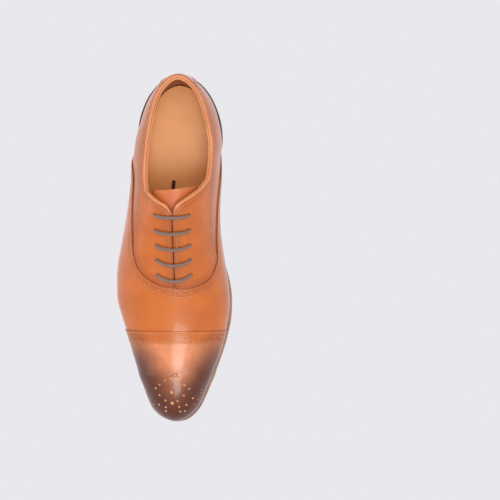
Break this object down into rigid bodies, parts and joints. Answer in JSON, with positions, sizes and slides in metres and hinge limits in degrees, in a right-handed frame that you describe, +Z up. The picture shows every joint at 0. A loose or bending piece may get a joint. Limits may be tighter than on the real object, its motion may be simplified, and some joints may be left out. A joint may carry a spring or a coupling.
{
  "type": "leather oxford shoe",
  "caption": "Closed-lacing leather dress shoe for the right foot, with a burnished toe cap, stitched leather sole, stacked heel and hinged tongue.",
  "frame": {"origin": "on the ground under the middle of the shoe's box", "axes": "toe toward -Y, heel toward +Y, medial (inner) side of the right foot toward +X, +Z up"},
  "size_m": [0.1017, 0.306, 0.0993],
  "materials": {
    "calf": "polished calf, antiqued tan",
    "calf_burnished": "polished calf, burnished brown at the toe",
    "lining_leather": "natural vegetable-tanned lining",
    "grip_leather": "suede side out, brown",
    "sole_leather": "dark brown stained edge",
    "welt_leather": "stitched welt, brown edge dressing",
    "insole_leather": "natural",
    "heel_leather": "stacked leather, dark brown stain",
    "top_piece_rubber": "matt",
    "cork": "pressed cork",
    "steel": "spring steel",
    "brass": "satin",
    "stiffener_board": "impregnated fibre",
    "tongue_leather": "calf with a raw edge",
    "lace_cord": "waxed round cotton",
    "lace_tip": "dark brown tip"
  },
  "bodies": {
    "shoe": {"outsole": "sole_leather", "welt": "welt_leather", "heel_rand": "welt_leather", "insole": "insole_leather", "insole_rib": "stiffener_board", "cork_filler": "cork", "shank": "steel", "insock": "lining_leather", "top_piece": "top_piece_rubber", "heel_lift_lower": "heel_leather", "heel_lift_middle": "heel_leather", "heel_lift_upper": "heel_leather", "heel_nails": "brass", "top_piece_pins": "brass", "toe_cap": "calf_burnished", "vamp": "calf", "lateral_quarter": "calf", "medial_quarter": "calf", "lateral_facing": "calf", "medial_facing": "calf", "back_strip": "calf", "vamp_lining": "lining_leather", "lateral_quarter_lining": "lining_leather", "medial_quarter_lining": "lining_leather", "heel_grip": "grip_leather", "toe_puff": "stiffener_board", "heel_counter": "stiffener_board", "eyelets": "brass", "lace": "lace_cord", "lateral_lace_tail": "lace_cord", "medial_lace_tail": "lace_cord", "lateral_aglet": "lace_tip", "medial_aglet": "lace_tip"},
    "tongue": {"tongue": "tongue_leather", "tongue_lining": "lining_leather"}
  },
  "joints": [
    {"name": "tongue_hinge", "type": "hinge", "parent": "shoe", "child": "tongue", "pos_m": [0.0017, -0.0383, 0.0586], "axis": [1, 0, 0], "range_deg": [-12, 0], "stiffness_Nm_per_rad": 0.05, "springref_deg": 17.19}
  ]
}
